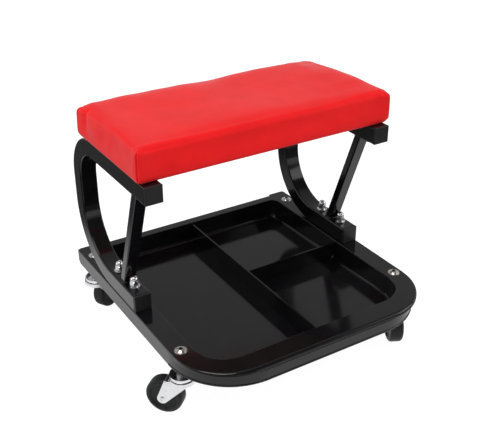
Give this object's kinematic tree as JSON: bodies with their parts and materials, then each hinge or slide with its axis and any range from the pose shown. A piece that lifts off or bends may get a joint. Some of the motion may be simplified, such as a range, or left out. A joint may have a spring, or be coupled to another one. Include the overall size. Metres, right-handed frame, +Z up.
{
  "type": "creeper seat",
  "caption": "Low rolling work seat: padded seat on C-shaped square tubes over a divided steel tool tray on swivel casters.",
  "frame": {"origin": "on the floor, under the middle of the whole object's width and depth", "axes": "+X to the right of someone facing the front lip, +Y from the front lip to the rear, +Z up"},
  "size_m": [0.429, 0.4068, 0.3605],
  "materials": {
    "black_paint": "high-gloss black powder coat",
    "black_plastic": "smooth moulded black",
    "zinc": "bright zinc plating",
    "chrome": "polished",
    "nickel": "bright nickel plating",
    "red_vinyl": "soft-gloss upholstery vinyl",
    "foam": "open-cell foam",
    "plywood": "raw plywood",
    "wheel_rubber": "solid charcoal tread, satin"
  },
  "bodies": {
    "base": {"tray_pan": "black_paint", "left_side_rail": "black_paint", "right_side_rail": "black_paint", "front_rail": "black_paint", "long_divider": "black_paint", "cross_divider": "black_paint", "left_bracket": "black_paint", "right_bracket": "black_paint", "left_brace": "black_paint", "right_brace": "black_paint", "tube_end_plugs": "black_plastic", "bracket_bolts": "zinc", "bracket_washers": "zinc", "bracket_spring_washers": "zinc", "bracket_cap_nuts": "chrome", "seat_cover": "red_vinyl", "seat_foam": "foam", "seat_board": "plywood", "seat_bolts": "zinc", "seat_washers": "zinc", "seat_tee_nuts": "zinc", "seat_staples": "zinc", "caster_bolts": "nickel", "caster_spacers": "zinc", "caster_lock_nuts": "zinc", "front_left_race_cup": "zinc", "front_left_ball_ring": "zinc", "front_right_race_cup": "zinc", "front_right_ball_ring": "zinc", "rear_left_race_cup": "zinc", "rear_left_ball_ring": "zinc", "rear_right_race_cup": "zinc", "rear_right_ball_ring": "zinc"},
    "front_left_swivel": {"front_left_fork": "zinc", "front_left_axle": "zinc", "front_left_bushing": "zinc"},
    "front_left_roller": {"front_left_wheel": "wheel_rubber"},
    "front_right_swivel": {"front_right_fork": "zinc", "front_right_axle": "zinc", "front_right_bushing": "zinc"},
    "front_right_roller": {"front_right_wheel": "wheel_rubber"},
    "rear_left_swivel": {"rear_left_fork": "zinc", "rear_left_axle": "zinc", "rear_left_bushing": "zinc"},
    "rear_left_roller": {"rear_left_wheel": "wheel_rubber"},
    "rear_right_swivel": {"rear_right_fork": "zinc", "rear_right_axle": "zinc", "rear_right_bushing": "zinc"},
    "rear_right_roller": {"rear_right_wheel": "wheel_rubber"}
  },
  "joints": [
    {"name": "front_left_turn", "type": "hinge", "parent": "base", "child": "front_left_swivel", "pos_m": [-0.1765, -0.119, 0], "axis": [0, 0, 1], "continuous": true},
    {"name": "front_left_roll", "type": "hinge", "parent": "front_left_swivel", "child": "front_left_roller", "pos_m": [-0.19193, -0.10061, 0.026], "axis": [-0.766, -0.6428, 0], "continuous": true},
    {"name": "front_right_turn", "type": "hinge", "parent": "base", "child": "front_right_swivel", "pos_m": [0.1765, -0.119, 0], "axis": [0, 0, 1], "continuous": true},
    {"name": "front_right_roll", "type": "hinge", "parent": "front_right_swivel", "child": "front_right_roller", "pos_m": [0.1656, -0.14038, 0.026], "axis": [0.891, -0.454, 0], "continuous": true},
    {"name": "rear_left_turn", "type": "hinge", "parent": "base", "child": "rear_left_swivel", "pos_m": [-0.1765, 0.1605, 0], "axis": [0, 0, 1], "continuous": true},
    {"name": "rear_left_roll", "type": "hinge", "parent": "rear_left_swivel", "child": "rear_left_roller", "pos_m": [-0.15572, 0.1725, 0.026], "axis": [-0.5, 0.866, 0], "continuous": true},
    {"name": "rear_right_turn", "type": "hinge", "parent": "base", "child": "rear_right_swivel", "pos_m": [0.1765, 0.1605, 0], "axis": [0, 0, 1], "continuous": true},
    {"name": "rear_right_roll", "type": "hinge", "parent": "rear_right_swivel", "child": "rear_right_roller", "pos_m": [0.19193, 0.17889, 0.026], "axis": [-0.766, 0.6428, 0], "continuous": true}
  ]
}
